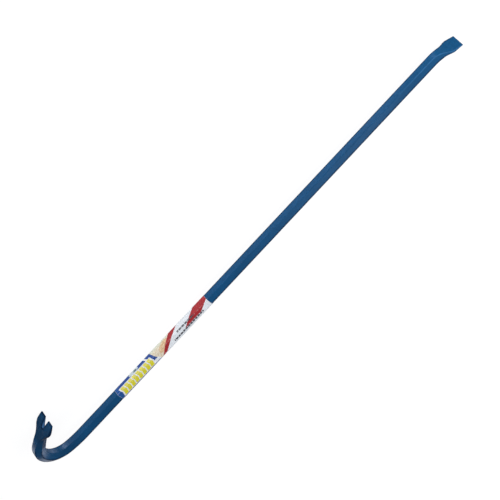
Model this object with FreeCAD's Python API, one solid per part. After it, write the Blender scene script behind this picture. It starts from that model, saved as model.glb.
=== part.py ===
import FreeCAD, Part
import math
import os

# Gooseneck pry bar: one forged bar of hexagonal steel with a printed label
# wrapped round the shank.  Millimetres.
#
# Frame: X along the shank (chisel end at +X, gooseneck at -X), Y across the
# plane of the hook (the hook opens towards +Y, the chisel is set over towards
# -Y), Z up, normal to the plane of the hook.  The bar lies on its side and the
# origin is the bottom centre of its bounding box.
#
# The bar is built with its shank centred on the X axis and moved at the end.
# Positions along it are (x, y) pairs.  Headings are in radians: 0 is along the
# shank, out of the end being built.  "inner" is the unit (x, y) square to the
# centre line that points to +Y at heading 0.

os.makedirs("parts", exist_ok=True)
V = FreeCAD.Vector

# hexagonal stock
hex_flats = 20.0                                       # across the flats
hex_half_w = hex_flats / math.cos(math.radians(30)) / 2   # centre to a sharp corner
hex_ratio = 0.5             # width of a flat over the width across the corners
corner_r = 1.3              # rolled corner radius
corner_share = 0.36         # most of a side that the rounding at one end may take

# straight shank
shank_x_hook = -454.0       # where the gooseneck starts
shank_x_chisel = 414.0      # where the chisel end starts

# gooseneck bends of constant section: (centre line radius, degrees)
neck_bends = [(147.5, 13.3), (37.5, 123.0)]

# claw; places along it are fractions of claw_len
claw_len = 67.2                           # along the centre line
claw_r_start, claw_r_end = 195.0, 327.0   # radius of the centre line
# (fraction, half width)
claw_half_w = [
    (0.0, hex_half_w), (0.20, 10.4), (0.40, 11.1), (0.55, 15.6), (0.70, 21.5),
    (0.77, 22.0), (0.85, 21.5), (1.0, 19.2), (1.06, 18.2)]
# (fraction, thickness)
claw_thick = [
    (0.0, hex_flats), (0.20, 18.3), (0.40, 13.2), (0.55, 9.3),
    (0.70, 7.2), (0.85, 4.8), (1.0, 2.1), (1.06, 1.4)]
claw_flat_ratio = 0.88      # width of the flats over the full width
claw_flat_by = 0.60         # where that ratio is reached
# fractions of the lofted sections; the last is past the tips, to be trimmed
claw_stations = [
    0, .05, .10, .16, .22, .28, .34, .40, .46, .52,
    .58, .64, .70, .76, .82, .88, .94, 1.0, 1.06]
claw_steps = 212            # short steps that trace the centre line

# nail slot and claw tips
slot_at = 0.705             # fraction of claw_len at the slot's root
slot_root_r = 2.9
slot_mouth_half = 5.4       # half width of the slot at the tips
tip_r = 1.6                 # rounding of each tine's outer corner
slot_overrun = 20.0         # the cutters' reach past the tips
tips_overrun = 30.0
tips_cutter_half_w = 40.0
cutter_half_depth = 25.0

# chisel end; places along it are lengths on its centre line
chisel_len = 62.0
chisel_deg = 19.7           # set over towards -Y
chisel_bend_len = 24.8      # length over which it turns
chisel_flat_start, chisel_flat_end = 5.0, 43.0   # where it thins from hex stock
chisel_thick = 4.8          # at chisel_flat_end
chisel_edge = 1.1           # thickness of the edge
chisel_wide_start, chisel_wide_end = 25.5, 43.5
chisel_half_w = 15.3        # at chisel_wide_end
chisel_tip_half_w = 14.0
chisel_offset = 0.7         # the blade sits this far to the +Y side of its centre line
chisel_flat_ratio = 0.94    # width of the flats over the full width, from chisel_wide_end
# places of the lofted sections
chisel_stations = [
    0, 3, 6, 9, 12, 15, 18, 21, 24, 27, 30, 33, 36, 39,
    41.5, 44, 46.5, 49.5, 52.5, 55.5, 59, chisel_len]
chisel_substeps = 20        # centre line steps between two sections

# printed label round the shank
label_x0, label_x1 = -364.5, -142.0
label_thick = 0.30
label_bore_overrun = 1.0    # the bore's cutter past each end

mesh_tolerance = 0.01       # for measuring the bar's bounding box


# ---------------------------------------------------------------------------
# curves
# ---------------------------------------------------------------------------
def smooth(x):
    """Ease from 0 to 1, level at both ends."""
    x = min(max(x, 0.0), 1.0)
    return x * x * (3 - 2 * x)


def blend(start, end, share):
    return start + (end - start) * share


def monotone(points):
    """Monotone cubic through (x, y) points, level at the first one."""
    xs = [point[0] for point in points]
    ys = [point[1] for point in points]
    count = len(xs)
    gaps = [xs[i + 1] - xs[i] for i in range(count - 1)]
    chords = [(ys[i + 1] - ys[i]) / gaps[i] for i in range(count - 1)]
    slopes = [0.0] * count
    for i in range(1, count - 1):
        if chords[i - 1] * chords[i] > 0:
            before = 2 * gaps[i] + gaps[i - 1]
            after = gaps[i] + 2 * gaps[i - 1]
            slopes[i] = (before + after) / (before / chords[i - 1] + after / chords[i])
    slopes[-1] = chords[-1]

    def value(x):
        x = min(max(x, xs[0]), xs[-1])
        i = 0
        while i < count - 2 and x > xs[i + 1]:
            i += 1
        t = (x - xs[i]) / gaps[i]
        return ((2 * t**3 - 3 * t**2 + 1) * ys[i]
                + (t**3 - 2 * t**2 + t) * gaps[i] * slopes[i]
                + (-2 * t**3 + 3 * t**2) * ys[i + 1]
                + (t**3 - t**2) * gaps[i] * slopes[i + 1])
    return value


def inner_side(heading):
    return math.sin(heading), math.cos(heading)


# ---------------------------------------------------------------------------
# sections
# ---------------------------------------------------------------------------
def rounded_corner(before, corner, after, radius):
    """Start, middle and end of the arc that rounds a corner of an outline."""
    back = (before[0] - corner[0], before[1] - corner[1])
    ahead = (after[0] - corner[0], after[1] - corner[1])
    back_len, ahead_len = math.hypot(*back), math.hypot(*ahead)
    back = (back[0] / back_len, back[1] / back_len)
    ahead = (ahead[0] / ahead_len, ahead[1] / ahead_len)
    angle = math.acos(max(-1.0, min(1.0, back[0] * ahead[0] + back[1] * ahead[1])))
    trim = min(radius / math.tan(angle / 2), corner_share * min(back_len, ahead_len))
    radius = trim * math.tan(angle / 2)
    start = (corner[0] + back[0] * trim, corner[1] + back[1] * trim)
    end = (corner[0] + ahead[0] * trim, corner[1] + ahead[1] * trim)
    bisector = (back[0] + ahead[0], back[1] + ahead[1])
    bisector_len = math.hypot(*bisector)
    to_middle = radius / math.sin(angle / 2) - radius
    middle = (corner[0] + bisector[0] / bisector_len * to_middle,
              corner[1] + bisector[1] / bisector_len * to_middle)
    return start, middle, end


def section(pos, inner, half_w, thick, ratio, radius=corner_r):
    """Closed wire of a flattened hexagon: two corners on +-Z, flats facing
    along inner, every corner rounded."""
    flat_half = half_w * ratio
    corners = [(half_w, 0), (flat_half, thick / 2), (-flat_half, thick / 2),
               (-half_w, 0), (-flat_half, -thick / 2), (flat_half, -thick / 2)]
    count = len(corners)
    arcs = [rounded_corner(corners[i - 1], corners[i], corners[(i + 1) % count], radius)
            for i in range(count)]

    def place(point):
        z, depth = point
        return V(pos[0] + inner[0] * depth, pos[1] + inner[1] * depth, z)

    edges = []
    for i in range(count):
        start, middle, end = arcs[i]
        next_start = arcs[(i + 1) % count][0]
        edges.append(Part.Arc(place(start), place(middle), place(end)).toShape())
        edges.append(Part.makeLine(place(end), place(next_start)))
    return Part.Wire(edges)


def hex_face(pos, inner, layer=0.0):
    """Face of the hexagonal stock, with a layer of this thickness over it."""
    half_w = hex_half_w + layer / math.cos(math.radians(30))
    return Part.Face(section(pos, inner, half_w, hex_flats + 2 * layer, hex_ratio,
                             corner_r + layer))


def hex_prism(x0, x1, layer=0.0):
    return hex_face((x0, 0.0), inner_side(0.0), layer).extrude(V(x1 - x0, 0, 0))


def loft(wires):
    return Part.makeLoft(wires, True, False)


def single_solid(shape):
    """The solid itself where a boolean wraps just one in a compound."""
    if shape.ShapeType == "Compound" and len(shape.Solids) == 1:
        return shape.Solids[0]
    return shape


# ---------------------------------------------------------------------------
# gooseneck bends: the stock's section turned about each bend centre
# ---------------------------------------------------------------------------
def make_bends():
    """The bends, with the position and heading where they end."""
    pos, heading = (shank_x_hook, 0.0), 0.0
    bends = []
    for radius, degrees in neck_bends:
        inner = inner_side(heading)
        centre = V(pos[0] + inner[0] * radius, pos[1] + inner[1] * radius, 0)
        bends.append(hex_face(pos, inner).revolve(centre, V(0, 0, 1), -degrees))
        heading += math.radians(degrees)
        inner = inner_side(heading)
        pos = (centre.x - inner[0] * radius, centre.y - inner[1] * radius)
    return bends, pos, heading


# ---------------------------------------------------------------------------
# claw
# ---------------------------------------------------------------------------
def claw_centre_line(pos, heading):
    """Function from a fraction of claw_len to (position, heading), on a centre
    line whose bend eases off towards the tips."""
    last = claw_stations[-1]
    length = claw_len * last / claw_steps
    line = [(pos, heading)]
    for i in range(claw_steps):
        ease = smooth((i + 0.5) / claw_steps * last)
        turn = length * ((1 - ease) / claw_r_start + ease / claw_r_end)
        middle = heading + turn / 2
        pos = (pos[0] - length * math.cos(middle), pos[1] + length * math.sin(middle))
        heading += turn
        line.append((pos, heading))

    def at(fraction):
        place = fraction / last * claw_steps
        i = min(int(place), claw_steps - 1)
        share = place - i
        (pos0, heading0), (pos1, heading1) = line[i], line[i + 1]
        return ((blend(pos0[0], pos1[0], share), blend(pos0[1], pos1[1], share)),
                blend(heading0, heading1, share))
    return at


def make_claw(pos, heading):
    """Lofted claw, cut by the nail slot and trimmed at the tips."""
    on_line = claw_centre_line(pos, heading)
    half_w_at, thick_at = monotone(claw_half_w), monotone(claw_thick)
    wires = []
    for fraction in claw_stations:
        centre, direction = on_line(fraction)
        ratio = blend(hex_ratio, claw_flat_ratio, smooth(fraction / claw_flat_by))
        wires.append(section(centre, inner_side(direction), half_w_at(fraction),
                             thick_at(fraction), ratio))
    claw = loft(wires)

    # cutter frame: origin at the slot's root, along the claw and through it
    root, tip = on_line(slot_at)[0], on_line(1.0)[0]
    origin = V(root[0], root[1], 0)
    along = V(tip[0] - root[0], tip[1] - root[1], 0)
    reach = along.Length
    along.normalize()
    through = V(-along.y, along.x, 0)

    def cutter(outline):
        """Extrude edges of (along, z) points, two for a line and three for an
        arc, through the claw."""
        edges = []
        for edge in outline:
            points = [origin + along * distance + V(0, 0, z) - through * cutter_half_depth
                      for distance, z in edge]
            if len(points) == 2:
                edges.append(Part.makeLine(*points))
            else:
                edges.append(Part.Arc(*points).toShape())
        return Part.Face(Part.Wire(edges)).extrude(through * (2 * cutter_half_depth))

    # nail slot: round root, straight walls opening to the tips
    slope = math.atan2(slot_mouth_half - slot_root_r, reach - slot_root_r)
    wall_t = slot_root_r - slot_root_r * math.sin(slope)
    wall_z = slot_root_r * math.cos(slope)
    out_t = reach + slot_overrun
    out_z = wall_z + (out_t - wall_t) * math.tan(slope)
    slot = cutter([
        ((wall_t, -wall_z), (0.0, 0.0), (wall_t, wall_z)),
        ((wall_t, wall_z), (out_t, out_z)),
        ((out_t, out_z), (out_t, -out_z)),
        ((out_t, -out_z), (wall_t, -wall_z)),
    ])

    # everything past the tip line and outside its two rounded corners
    side = half_w_at(1.0 - tip_r / claw_len)
    start = reach - tip_r
    far = reach + tips_overrun
    wide = tips_cutter_half_w
    flat = side - tip_r
    diagonal = tip_r * math.sqrt(0.5)
    mid_t, mid_z = start + diagonal, flat + diagonal
    tips = cutter([
        ((start, wide), (start, side)),
        ((start, side), (mid_t, mid_z), (reach, flat)),
        ((reach, flat), (reach, -flat)),
        ((reach, -flat), (mid_t, -mid_z), (start, -side)),
        ((start, -side), (start, -wide)),
        ((start, -wide), (far, -wide)),
        ((far, -wide), (far, wide)),
        ((far, wide), (start, wide)),
    ])
    return claw.cut(slot).cut(tips)


# ---------------------------------------------------------------------------
# chisel end: set over, thinned to a blade, widened, then tapered to an edge
# ---------------------------------------------------------------------------
def chisel_heading(length):
    return math.radians(chisel_deg) * smooth(length / chisel_bend_len)


def chisel_section(pos, length):
    thinning = smooth((length - chisel_flat_start) / (chisel_flat_end - chisel_flat_start))
    thick = blend(hex_flats, chisel_thick, thinning)
    if length > chisel_flat_end:
        share = (length - chisel_flat_end) / (chisel_len - chisel_flat_end)
        thick = blend(chisel_thick, chisel_edge, share)

    widening = smooth((length - chisel_wide_start) / (chisel_wide_end - chisel_wide_start))
    half_w = blend(hex_half_w, chisel_half_w, widening)
    if length > chisel_wide_end:
        share = (length - chisel_wide_end) / (chisel_len - chisel_wide_end)
        half_w = blend(chisel_half_w, chisel_tip_half_w, share)

    flattening = smooth((length - chisel_flat_start) / (chisel_wide_end - chisel_flat_start))
    ratio = blend(hex_ratio, chisel_flat_ratio, flattening)
    inner = inner_side(chisel_heading(length))
    offset = chisel_offset * thinning
    centre = (pos[0] + inner[0] * offset, pos[1] + inner[1] * offset)
    return section(centre, inner, half_w, thick, ratio)


def make_chisel():
    pos, length = (shank_x_chisel, 0.0), 0.0
    wires = [chisel_section(pos, length)]
    for previous, station in zip(chisel_stations, chisel_stations[1:]):
        step = (station - previous) / chisel_substeps
        for _ in range(chisel_substeps):
            heading = chisel_heading(length + step / 2)
            pos = (pos[0] + step * math.cos(heading), pos[1] - step * math.sin(heading))
            length += step
        wires.append(chisel_section(pos, length))
    return loft(wires)


# ---------------------------------------------------------------------------
# pieces
# ---------------------------------------------------------------------------
def make_bar():
    # three lengths of shank, so that each bare flat ends at the label
    shank = [hex_prism(shank_x_hook, label_x0),
             hex_prism(label_x0, label_x1),
             hex_prism(label_x1, shank_x_chisel)]
    bends, pos, heading = make_bends()
    claw = make_claw(pos, heading)
    return single_solid(shank[0].multiFuse(shank[1:] + bends + [claw, make_chisel()]))


def make_label():
    """Hexagonal sleeve lying on the flats of the shank."""
    outer = hex_prism(label_x0, label_x1, label_thick)
    bore = hex_prism(label_x0 - label_bore_overrun, label_x1 + label_bore_overrun)
    return single_solid(outer.cut(bore))


bar = make_bar()
label = make_label()

# move both to the bottom centre of the bar's bounding box and write them
points, _ = bar.tessellate(mesh_tolerance)
low = [min(point[i] for point in points) for i in range(3)]
high = [max(point[i] for point in points) for i in range(3)]
shift = V(-(low[0] + high[0]) / 2, -(low[1] + high[1]) / 2, -low[2])
for name, piece in (("forged_bar", bar), ("shank_label", label)):
    piece = piece.copy()
    piece.translate(shift)
    piece.exportStep("parts/%s.step" % name)
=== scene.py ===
import math

import bmesh
import bpy
import numpy as np
from mathutils import Matrix, Vector, noise


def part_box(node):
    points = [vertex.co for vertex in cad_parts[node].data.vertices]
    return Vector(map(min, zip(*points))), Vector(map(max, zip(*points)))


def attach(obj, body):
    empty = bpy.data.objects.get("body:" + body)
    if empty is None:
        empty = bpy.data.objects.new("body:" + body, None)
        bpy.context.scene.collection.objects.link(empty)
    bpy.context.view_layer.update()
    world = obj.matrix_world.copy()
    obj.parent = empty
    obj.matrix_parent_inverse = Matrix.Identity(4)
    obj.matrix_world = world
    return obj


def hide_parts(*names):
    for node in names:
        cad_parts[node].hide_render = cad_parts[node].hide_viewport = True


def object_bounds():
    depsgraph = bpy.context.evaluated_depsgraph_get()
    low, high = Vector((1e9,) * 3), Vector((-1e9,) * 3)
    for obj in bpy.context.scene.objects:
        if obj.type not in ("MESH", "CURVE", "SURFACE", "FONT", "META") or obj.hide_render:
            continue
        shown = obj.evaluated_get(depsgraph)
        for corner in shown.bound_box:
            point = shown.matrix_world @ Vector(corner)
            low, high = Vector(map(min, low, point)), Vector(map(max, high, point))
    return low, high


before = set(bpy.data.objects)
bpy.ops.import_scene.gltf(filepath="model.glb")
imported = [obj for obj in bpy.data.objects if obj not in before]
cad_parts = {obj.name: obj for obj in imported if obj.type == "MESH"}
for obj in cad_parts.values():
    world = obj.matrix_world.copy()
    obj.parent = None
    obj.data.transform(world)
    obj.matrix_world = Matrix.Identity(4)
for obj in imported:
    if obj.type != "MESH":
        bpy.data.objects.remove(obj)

CAD_LO, CAD_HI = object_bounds()

# ---------------------------------------------------------------------------
# Where the bar is: the label's box gives the shank's centre line.  Working
# coordinates are millimetres from that line, with X along the shank, and
# x = 0 where the label's hook end is at -364.5.
# ---------------------------------------------------------------------------
LAB_LO, LAB_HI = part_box("shank_label")
LABEL_X0, LABEL_X1 = -364.5, -142.0
AXIS = Vector((LAB_LO.x - LABEL_X0 / 1000.0, (LAB_LO.y + LAB_HI.y) / 2, (LAB_LO.z + LAB_HI.z) / 2))

HEX_AF = 20.0
AC2 = HEX_AF / math.cos(math.radians(30)) / 2
CORNER_R = 1.3
SHANK_X_HOOK, SHANK_X_CHISEL = -454.0, 414.0
BENDS = ((147.5, 13.3), (37.5, 123.0))
CLAW_LEN = 67.2
CLAW_R0, CLAW_R1 = 195.0, 327.0
CLAW_W = [(0.0, AC2), (0.20, 10.4), (0.40, 11.1), (0.55, 15.6), (0.70, 21.5), (0.77, 22.0), (0.85, 21.5),
          (1.0, 19.2), (1.06, 18.2)]
CLAW_T = [(0.0, HEX_AF), (0.20, 18.3), (0.40, 13.2), (0.55, 9.3), (0.70, 7.2), (0.85, 4.8), (1.0, 2.1), (1.06, 1.4)]
CLAW_RATIO, CLAW_RATIO_BY = 0.88, 0.60
SLOT_AT, SLOT_R, SLOT_MOUTH = 0.705, 2.9, 5.4
TIP_R = 1.6
CH_LEN, CH_DEG, CH_BEND = 62.0, 19.7, 24.8
CH_F0, CH_F1, CH_T, CH_EDGE = 5.0, 43.0, 4.8, 1.1
CH_W0, CH_W1, CH_HW, CH_TIPW = 25.5, 43.5, 15.3, 14.0
CH_OFF, CH_RATIO = 0.7, 0.94


def smooth(x):
    x = min(max(x, 0.0), 1.0)
    return x * x * (3 - 2 * x)


def monotone(points):
    xs = [p[0] for p in points]
    ys = [p[1] for p in points]
    n = len(xs)
    h = [xs[i + 1] - xs[i] for i in range(n - 1)]
    d = [(ys[i + 1] - ys[i]) / h[i] for i in range(n - 1)]
    m = [0.0] * n
    for i in range(1, n - 1):
        if d[i - 1] * d[i] > 0:
            a = 2 * h[i] + h[i - 1]
            b = h[i] + 2 * h[i - 1]
            m[i] = (a + b) / (a / d[i - 1] + b / d[i])
    m[-1] = d[-1]

    def f(x):
        x = min(max(x, xs[0]), xs[-1])
        i = 0
        while i < n - 2 and x > xs[i + 1]:
            i += 1
        t = (x - xs[i]) / h[i]
        return ((2 * t**3 - 3 * t**2 + 1) * ys[i] + (t**3 - 2 * t**2 + t) * h[i] * m[i]
                + (-2 * t**3 + 3 * t**2) * ys[i + 1] + (t**3 - t**2) * h[i] * m[i + 1])
    return f


FW, FT = monotone(CLAW_W), monotone(CLAW_T)

# ---------------------------------------------------------------------------
# One ring of the bar: a flattened hexagon with rounded corners, as (z, n)
# pairs, n being the offset towards the inner side of the hook.  Every ring has
# the same number of points, with one at z = 0 on both flats (index 0 on the
# inner flat, index BOT on the outer one).
# ---------------------------------------------------------------------------
N_ARC, N_SIDE, N_HALF = 6, 6, 10
BOT = 2 * N_HALF + 2 * N_SIDE + 3 * N_ARC + 1
RING = 2 * BOT
NEAR = (0.18, 0.42, 0.75, 1.3)      # points of a flat close to its middle


def ring2d(half_w, thick, ratio, radius=CORNER_R):
    """(points, edge): edge is 1 on a rounded corner and falls to 0 on the flats."""
    pts = [(half_w, 0), (half_w * ratio, thick / 2), (-half_w * ratio, thick / 2),
           (-half_w, 0), (-half_w * ratio, -thick / 2), (half_w * ratio, -thick / 2)]
    arcs = []
    for i in range(6):
        p0, p, p1 = pts[i - 1], pts[i], pts[(i + 1) % 6]
        a = (p0[0] - p[0], p0[1] - p[1])
        b = (p1[0] - p[0], p1[1] - p[1])
        la, lb = math.hypot(*a), math.hypot(*b)
        ua, ub = (a[0] / la, a[1] / la), (b[0] / lb, b[1] / lb)
        ang = math.acos(max(-1.0, min(1.0, ua[0] * ub[0] + ua[1] * ub[1])))
        tl = min(radius / math.tan(ang / 2), 0.36 * min(la, lb))
        r = tl * math.tan(ang / 2)
        bis = (ua[0] + ub[0], ua[1] + ub[1])
        lbis = math.hypot(*bis)
        c = (p[0] + bis[0] / lbis * r / math.sin(ang / 2), p[1] + bis[1] / lbis * r / math.sin(ang / 2))
        s = (p[0] + ua[0] * tl, p[1] + ua[1] * tl)
        e = (p[0] + ub[0] * tl, p[1] + ub[1] * tl)
        a0 = math.atan2(s[1] - c[1], s[0] - c[0])
        a1 = math.atan2(e[1] - c[1], e[0] - c[0])
        while a1 < a0:
            a1 += 2 * math.pi
        arcs.append([(c[0] + r * math.cos(a0 + (a1 - a0) * k / (N_ARC - 1)),
                      c[1] + r * math.sin(a0 + (a1 - a0) * k / (N_ARC - 1))) for k in range(N_ARC)][::-1])
    out, edge = [], []

    def half_flat(z0, z1, n, down):
        """Points between z = 0 and a corner; down reverses them."""
        length = abs(z1 - z0)
        near = [min(v, length * 0.1 * (k + 1)) for k, v in enumerate(NEAR)]
        rest = N_HALF - len(near)
        at = near + [near[-1] + (length - near[-1]) * (k + 1) / (rest + 1) for k in range(rest)]
        sign = 1 if z1 > z0 else -1
        row = [((z0 + sign * t, n), max(0.0, 1 - (length - t) / 1.6) ** 2) for t in at]
        for p, e in (row[::-1] if down else row):
            out.append(p)
            edge.append(e)

    def side(p, q):
        length = math.dist(p, q)
        for k in range(N_SIDE):
            t = (k + 1) / (N_SIDE + 1)
            out.append((p[0] + (q[0] - p[0]) * t, p[1] + (q[1] - p[1]) * t))
            edge.append(max(0.0, 1 - min(t, 1 - t) * length / 1.6) ** 2)

    def arc(a):
        out.extend(a)
        edge.extend([1.0] * N_ARC)
    h = thick / 2
    out.append((0.0, h)); edge.append(0.0)
    half_flat(0.0, arcs[1][0][0], h, False); arc(arcs[1])
    side(arcs[1][-1], arcs[0][0]); arc(arcs[0])
    side(arcs[0][-1], arcs[5][0]); arc(arcs[5])
    half_flat(0.0, arcs[5][-1][0], -h, True)
    out.append((0.0, -h)); edge.append(0.0)
    half_flat(0.0, arcs[4][0][0], -h, False); arc(arcs[4])
    side(arcs[4][-1], arcs[3][0]); arc(arcs[3])
    side(arcs[3][-1], arcs[2][0]); arc(arcs[2])
    half_flat(0.0, arcs[2][-1][0], h, True)
    return out, edge


# ---------------------------------------------------------------------------
# The centre line: bends and claw, as in the working frame
# ---------------------------------------------------------------------------
stations = []     # (x, y, inner_x, inner_y, half_w, thick, ratio, forge, tip)
pos, th = (SHANK_X_HOOK, 0.0), 0.0
bend_rings = []
for r, deg in BENDS:
    inner = (math.sin(th), math.cos(th))
    centre = (pos[0] + inner[0] * r, pos[1] + inner[1] * r)
    n = max(8, int(r * math.radians(deg) / 1.25))
    for i in range(n + 1):
        if i == 0 and bend_rings:
            continue
        a = th + math.radians(deg) * i / n
        bend_rings.append((centre[0] - math.sin(a) * r, centre[1] - math.cos(a) * r, math.sin(a), math.cos(a),
                           AC2, HEX_AF, 0.5, 0.35 if r < 100 else 0.15, 0.0))
    th += math.radians(deg)
    pos = (centre[0] - math.sin(th) * r, centre[1] - math.cos(th) * r)

U_END, STEPS = 1.06, 424
path = [(pos, th)]
p, a = pos, th
for i in range(STEPS):
    u = (i + 0.5) / STEPS * U_END
    k = (1 - smooth(u)) / CLAW_R0 + smooth(u) / CLAW_R1
    dl = CLAW_LEN * U_END / STEPS
    am = a + dl * k / 2
    p, a = (p[0] - dl * math.cos(am), p[1] + dl * math.sin(am)), a + dl * k
    path.append((p, a))


def on_claw(u):
    x = u / U_END * STEPS
    i = min(int(x), STEPS - 1)
    t = x - i
    (p0, a0), (p1, a1) = path[i], path[i + 1]
    return (p0[0] + (p1[0] - p0[0]) * t, p0[1] + (p1[1] - p0[1]) * t), a0 + (a1 - a0) * t


def claw_ratio(u):
    return 0.5 + (CLAW_RATIO - 0.5) * smooth(u / CLAW_RATIO_BY)


REACH = (1.0 - SLOT_AT) * CLAW_LEN
SLOPE = math.atan2(SLOT_MOUTH - SLOT_R, REACH - SLOT_R)
TX, TZ = SLOT_R - SLOT_R * math.sin(SLOPE), SLOT_R * math.cos(SLOPE)
R_EDGE = 0.6


def wall(s):
    """Half width of the nail slot at s from its root."""
    if s <= TX:
        return math.sqrt(max(0.0, SLOT_R**2 - (SLOT_R - s) ** 2))
    return TZ + (s - TX) * math.tan(SLOPE)


def slot_drop(s, z, thick):
    """How far the flats fall towards the slot, whose edges are rounded."""
    z = abs(z)
    if s < TX:
        e = math.hypot(SLOT_R - s, z) - SLOT_R
    else:
        e = (z - wall(s)) * math.cos(SLOPE)
    r = min(R_EDGE, thick * 0.3)
    e = max(e, 0.0)
    if e >= r:
        return 0.0
    return r - math.sqrt(max(0.0, r * r - (r - e) ** 2))


def outline(d):
    """Thin paint and painted shade along an outline, from the distance to it."""
    return smooth(1 - (d - 0.9) / 2.9)


def slot_edge(s, z):
    z = abs(z)
    e = math.hypot(SLOT_R - s, z) - SLOT_R if s < TX else (z - wall(s)) * math.cos(SLOPE)
    return max(0.0, 1 - max(e, 0.0) / 1.4) ** 2


# ---------------------------------------------------------------------------
# The bar's mesh
# ---------------------------------------------------------------------------
verts, faces, edge_v, forge_v, tip_v, amp_v, thin_paint_and_shade_v, slot_painted_light_v = [], [], [], [], [], [], [], []


def put(x, y, ix, iy, z, n, edge, forge, tip, amp, thin_paint_and_shade, slot_painted_light=0.0):
    verts.append((x + ix * n, y + iy * n, z))
    edge_v.append(edge)
    forge_v.append(forge)
    tip_v.append(tip)
    amp_v.append(amp)
    thin_paint_and_shade_v.append(thin_paint_and_shade)
    slot_painted_light_v.append(slot_painted_light)
    return len(verts) - 1


def join(r0, r1, closed=True):
    n = len(r0)
    for i in range(n if closed else n - 1):
        j = (i + 1) % n
        faces.append((r0[i], r0[j], r1[j], r1[i]))


# claw, from the slot's root back to the bends
back = [0.0, 0.12, 0.28, 0.5, 0.8, 1.2, 1.8, 2.6]
s = 3.5
while s < SLOT_AT * CLAW_LEN - 0.5:
    back.append(s)
    s += 1.0
rings = []
for s in back:
    u = SLOT_AT - s / CLAW_LEN
    q, ang = on_claw(u)
    w, t = FW(u), FT(u)
    pts, ed = ring2d(w, t, claw_ratio(u))
    ring = []
    for (z, n), e in zip(pts, ed):
        d = slot_drop(-s, z, t) if s < 3 else 0.0
        on_flat = abs(abs(n) - t / 2) < 1e-6
        if on_flat:
            n -= math.copysign(d, n)
            e = max(e, slot_edge(-s, z)) if s < 3 else e
        f = 0.35 + 0.65 * smooth(u / 0.45)
        # darkening: thin paint and painted shade along the claw's outline, painted shade on the stem's side faces under
        # the claw and round the slot's root
        ring.append(put(q[0], q[1], math.sin(ang), math.cos(ang), z, n, e, f, 0.0, 0.05 + 0.15 * f,
                        max(e * 0.10, smooth((u - 0.34) / 0.2) * 0.9 * outline(w - abs(z)),
                            0.85 * smooth((u - 0.02) / 0.10) if n > 0.1 and not on_flat and u < 0.6 else 0.0,
                            0.8 * outline(math.hypot(SLOT_R + s, z) - SLOT_R) if s < 3 else 0.0)))
    rings.append(ring)
root_ring = rings[0]

# bends, shank and chisel
main = []
for b in bend_rings[::-1]:
    main.append(b)
x = SHANK_X_HOOK + 2.5
while x < SHANK_X_CHISEL - 1.5:
    main.append((x, 0.0, 0.0, 1.0, AC2, HEX_AF, 0.5, 0.0, 0.0))
    x += 3.0
cpos, cang, cl = (SHANK_X_CHISEL, 0.0), 0.0, 0.0
marks = [float(v) for v in range(0, 59)] + [59.0, 59.8, 60.4]
chisel = []
sub = 8
for j, m in enumerate(marks + [CH_LEN]):
    if j:
        prev = marks[j - 1]
        dl = (m - prev) / sub
        for i in range(sub):
            am = math.radians(CH_DEG) * smooth((cl + dl / 2) / CH_BEND)
            cpos = (cpos[0] + dl * math.cos(am), cpos[1] - dl * math.sin(am))
            cl += dl
    chisel.append((m, cpos))


def chisel_section(l):
    ang = math.radians(CH_DEG) * smooth(l / CH_BEND)
    x = smooth((l - CH_F0) / (CH_F1 - CH_F0))
    thick = HEX_AF + (CH_T - HEX_AF) * x
    if l > CH_F1:
        thick = CH_T + (CH_EDGE - CH_T) * (l - CH_F1) / (CH_LEN - CH_F1)
    half = AC2 + (CH_HW - AC2) * smooth((l - CH_W0) / (CH_W1 - CH_W0))
    if l > CH_W1:
        half = CH_HW + (CH_TIPW - CH_HW) * (l - CH_W1) / (CH_LEN - CH_W1)
    ratio = 0.5 + (CH_RATIO - 0.5) * smooth((l - CH_F0) / (CH_W1 - CH_F0))
    return ang, x, thick, half, ratio


for m, q in chisel[:-1]:
    ang, x, t, half, ratio = chisel_section(m)
    ix, iy = math.sin(ang), math.cos(ang)
    main.append((q[0] + ix * CH_OFF * x, q[1] + iy * CH_OFF * x, ix, iy, half, t, ratio, smooth(m / 20), 0.0))
LABEL_CALM = 6.0
for (sx, sy, ix, iy, w, t, ratio, forge, tip) in main:
    pts, ed = ring2d(w, t, ratio)
    calm = smooth(max(LABEL_X0 - sx, sx - LABEL_X1) / LABEL_CALM) if sx > SHANK_X_HOOK else 1.0
    amp = (0.045 + 0.14 * forge) * calm * min(1.0, t / 9.0)
    # thin paint and painted shade: a dark line along four of the six corners, only a faint one along the other two
    rings.append([put(sx, sy, ix, iy, z, n, e, forge, tip, amp, 0.06 * e if z * n > 0.2 * AC2 * t / 2 else 0.70 * math.sqrt(e))
                  for (z, n), e in zip(pts, ed)])
for r0, r1 in zip(rings, rings[1:]):
    join(r0, r1)

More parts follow.
